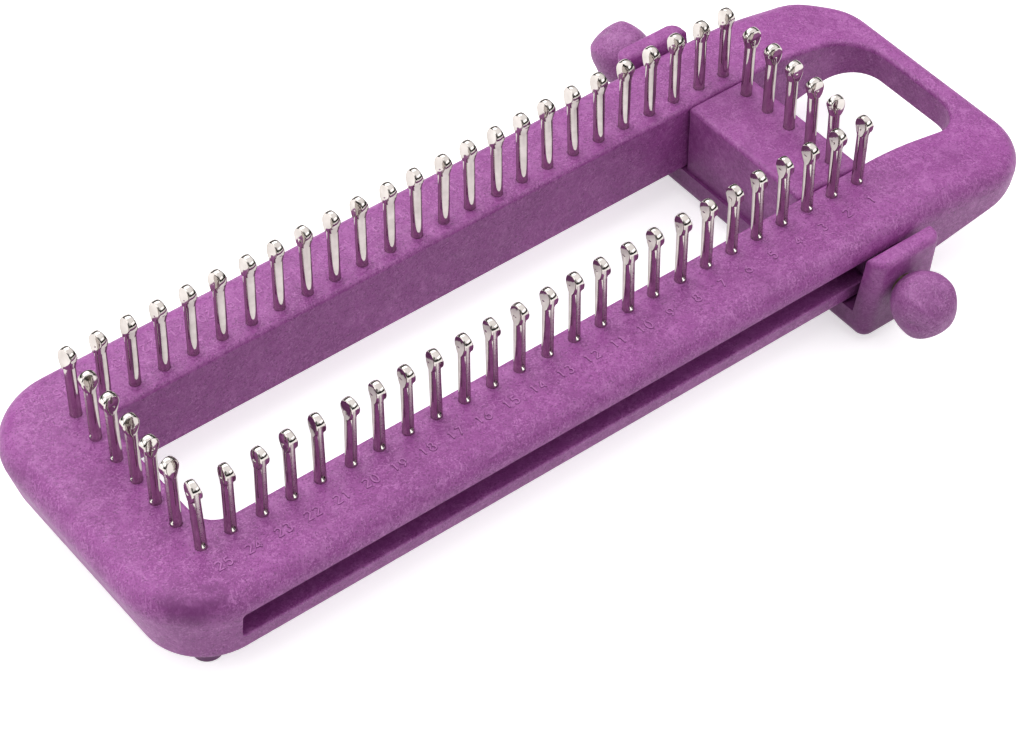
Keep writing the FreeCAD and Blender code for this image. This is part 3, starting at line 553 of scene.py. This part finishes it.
def stroke_mesh(path, width, height, sink, verts, faces, walls):
    """A low flat-topped ridge along a path of (x, y) points on z = 0, with a
    thin skirt at its foot. walls takes 1 for each steep face, 0 for the others."""
    pts = [np.array(path[0], dtype=float)]
    for q in path[1:]:
        q = np.array(q, dtype=float)
        d = np.linalg.norm(q - pts[-1])
        steps = max(1, int(round(d / 0.22)))
        for k in range(1, steps + 1):
            pts.append(pts[-1] + (q - pts[-1]) * (1.0 / (steps - k + 1)))
    pts = np.array(pts)
    tang = np.gradient(pts, axis=0)
    tang /= np.maximum(np.linalg.norm(tang, axis=1, keepdims=True), 1e-9)
    side = np.stack([-tang[:, 1], tang[:, 0]], axis=1)
    n = len(pts)
    base = len(verts)
    section = [(-0.66, -1), (-0.64, 0.03), (-0.50, 0.06), (-0.40, 0.80), (-0.26, 1.0),
               (0.26, 1.0), (0.40, 0.80), (0.50, 0.06), (0.64, 0.03), (0.66, -1)]
    steep = {0, 1, 2, 6, 7, 8}
    for k in range(n):
        e = min(k, n - 1 - k)
        fall = 0.45 if e == 0 else 1.0
        for u, h in section:
            p = pts[k] + side[k] * u * width * (0.6 if e == 0 else 1.0)
            verts.append((p[0], p[1], -sink if h < 0 else height * h * fall))
    m = len(section)
    for k in range(n - 1):
        for j in range(m):
            q = (j + 1) % m
            faces.append((base + k * m + j, base + k * m + q, base + (k + 1) * m + q, base + (k + 1) * m + j))
            walls.append(1 if j in steep or k in (0, n - 2) else 0)
    faces.append(tuple(base + j for j in reversed(range(m))))
    faces.append(tuple(base + (n - 1) * m + j for j in range(m)))
    walls += [1, 1]


def numerals(name, x_of, y, turned, width, height, top, wall):
    verts, faces, walls = [], [], []
    for n in range(1, 26):
        text = str(n)
        total = 1.9 + 2.75 * (len(text) - 1)
        for c, ch in enumerate(text):
            for path in FIGURES[ch]:
                moved = []
                for px, py in path:
                    u = px + 2.75 * c - total / 2
                    v = py - 1.55
                    if turned:
                        u, v = -u, -v
                    moved.append((x_of(n) + u, y + v))
                stroke_mesh(moved, width, height, 0.06, verts, faces, walls)
    piece = new_piece(name, verts, faces, top, sharp_deg=40)
    piece.data.materials.append(wall)
    # the steep walls and skirts take the second material, painted shade on the near rail
    piece.data.polygons.foreach_set("material_index", walls)
    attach(piece, "board")
    return piece


numerals("near_rail_numbers", lambda n: -113.1 + (25 - n) * 9.39, -38.4, False, 0.54, 0.26,
         numeral_painted_highlight, numeral_painted_shade)
numerals("far_rail_numbers", lambda n: -113.1 + (25 - n) * 9.39, 39.5, True, 0.46, 0.20,
         numeral_painted_highlight, numeral_painted_highlight)


# ------------------------------------------------- raised lips of the peg holes
def lips(name, places, body, first):
    """Where each pin was driven in, the plastic stands up in a low worn ring."""
    verts, faces = [], []
    seg = 40
    for k, (x, y) in enumerate(places):
        i = first + k
        base = len(verts)
        tall = 0.080 + 0.035 * wobble(i, 5)
        wide = 2.45 + 0.25 * wobble(i, 6)
        rows = [(1.66, -0.10, 0), (1.72, 0.60, 0), (1.90, 1.0, 0), (2.06, 0.72, 0), (2.20, 0.32, 0),
                (wide, 0.07, 1), (wide + 0.25, 0.0, 1), (wide + 0.27, -1.0, 1)]
        for r, h, outer in rows:
            for m in range(seg):
                a = 2 * math.pi * m / seg
                lift = 0.62 + 0.38 * math.sin(a + 2.0 * wobble(i, 7)) * (1 if outer else 0.4)
                rr = r + (0.05 * math.sin(3 * a + 5 * wobble(i, 8)) if outer else 0.0)
                z = -0.08 if h < 0 else tall * h * lift
                verts.append((x + rr * math.cos(a), y + rr * math.sin(a), z))
        n = len(rows)
        for j in range(n):
            jn = (j + 1) % n
            for m in range(seg):
                q = (m + 1) % seg
                faces.append((base + j * seg + m, base + j * seg + q, base + jn * seg + q, base + jn * seg + m)[::-1])
    piece = new_piece(name, verts, faces, plastic if body == "board" else slider_plastic)
    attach(piece, body)
    return piece


def shifted(x, y, off):
    return (x + SIDEWAYS[0] * off[0], y + SIDEWAYS[1] * off[0])


lips("near_peg_lips", [shifted((13 - n) * PITCH, -ROW_Y, off_of("near", n)) for n in range(1, 26)],
     "board", 0)
lips("far_peg_lips", [shifted((13 - n) * PITCH, ROW_Y, off_of("far", n)) for n in range(1, 26)],
     "board", 100)
lips("end_peg_lips", [shifted(END_X, (2 - k) * END_PITCH, off_of("end", k)) for k in range(5)],
     "board", 200)
lips("slider_peg_lips", [shifted(SLIDER_ROW_X, (2 - k) * SLIDER_PITCH, off_of("slider", k)) for k in range(5)],
     "slider", 300)

# ------------------------------------------------------------- floor and light
def floor_sheet(name, z, albedo, glow):
    mesh = bpy.data.meshes.new(name)
    R = 6.0
    mesh.from_pydata([(-R, -R, z), (R, -R, z), (R, R, z), (-R, R, z)], [], [(0, 1, 2, 3)])
    sheet = bpy.data.objects.new(name, mesh)
    scene.collection.objects.link(sheet)
    m, t, bsdf = new_material(name + "_paper")
    bsdf.inputs["Base Color"].default_value = (albedo, albedo, albedo, 1)
    bsdf.inputs["Roughness"].default_value = 0.95
    bsdf.inputs["Specular IOR Level"].default_value = 0.1
    bsdf.inputs["Emission Color"].default_value = (1, 1, 1, 1)
    bsdf.inputs["Emission Strength"].default_value = glow
    mesh.materials.append(m)
    return sheet


# the lit white table that is seen, and a plain sheet just under it that
# throws the room's light back up at the board
floor = floor_sheet("floor", 0.0, 0.86, 0.60)
floor.visible_diffuse = False
floor.visible_shadow = False
bounce = floor_sheet("floor_bounce", -0.0006, 0.56, 0.0)
bounce.visible_camera = False

world = bpy.data.worlds.new("studio")
scene.world = world
world.use_nodes = True
wt = Tree(world.node_tree)
world.node_tree.nodes.clear()
bg = wt.node("ShaderNodeBackground")
wout = wt.node("ShaderNodeOutputWorld")
wt.link(bg.outputs[0], wout.inputs[0])
# white table below, a dark room round the horizon, a white tent overhead with
# an opening on the side the object is seen from
direction = wt.node("ShaderNodeTexCoord").outputs["Generated"]
split = wt.node("ShaderNodeSeparateXYZ")
wt.link(direction, split.inputs[0])
level = wt.ramp(wt.range(split.outputs["Z"], -1.0, 1.0, 0.0, 1.0),
                [(0.0, (0.90, 0.90, 0.90)), (0.492, (0.90, 0.90, 0.90)), (0.503, (0.03, 0.03, 0.03)),
                 (0.68, (0.05, 0.05, 0.05)), (0.765, (0.95, 0.95, 0.95)), (0.85, (1.40, 1.40, 1.40)),
                 (1.0, (1.50, 1.50, 1.50))])
dot = wt.node("ShaderNodeVectorMath", operation="DOT_PRODUCT")
wt.link(direction, dot.inputs[0])
dot.inputs[1].default_value = (-0.43, -0.55, 0.717)
opening = wt.range(dot.outputs["Value"], 0.925, 0.975, 0.0, 0.97, smooth=True)
wt.link(wt.mix(opening, level, (0.02, 0.02, 0.02, 1)), bg.inputs[0])
bg.inputs[1].default_value = 1.0


def softbox(name, at, target, size, radiance, colour=(1, 1, 1), mirrored=True):
    """Rectangular soft light of the given brightness."""
    d = bpy.data.lights.new(name, "AREA")
    d.shape = "RECTANGLE"
    d.size, d.size_y = size
    d.energy = radiance * size[0] * size[1] * math.pi
    d.color = colour
    o = bpy.data.objects.new(name, d)
    o.location = at
    o.rotation_mode = "QUATERNION"
    o.rotation_quaternion = (Vector(target) - Vector(at)).to_track_quat("-Z", "Y")
    o.visible_glossy = mirrored
    scene.collection.objects.link(o)
    return o


softbox("softbox_back", (0.0, 0.62, 0.74), (0, 0.05, 0), (1.0, 0.45), 2.2)
softbox("softbox_left", (-0.95, 0.25, 0.75), (-0.1, 0, 0), (0.6, 0.7), 1.2)
softbox("fill_front", (0.42, -0.74, 0.56), (0.02, 0, 0.02), (0.7, 0.4), 1.7)
softbox("fill_left", (-0.95, 0.42, 0.22), (-0.10, 0, 0.02), (0.6, 0.3), 2.6)

# --------------------------------------------------------------------- camera
cam_data = bpy.data.cameras.new("camera")
cam = bpy.data.objects.new("camera", cam_data)
scene.collection.objects.link(cam)
scene.camera = cam
cam_data.sensor_fit = "HORIZONTAL"
cam_data.sensor_width = 36.0
cam_data.lens = 3230.0 / 1024.0 * 36.0
cam_data.clip_start = 0.01
cam_data.clip_end = 50.0
AZ, EL = math.radians(37.78), math.radians(45.89)
look = Vector((math.sin(AZ) * math.cos(EL), math.cos(AZ) * math.cos(EL), -math.sin(EL)))
cam.location = (-0.40527, -0.51481, 0.66916)
cam.rotation_mode = "QUATERNION"
cam.rotation_quaternion = look.to_track_quat("-Z", "Y")
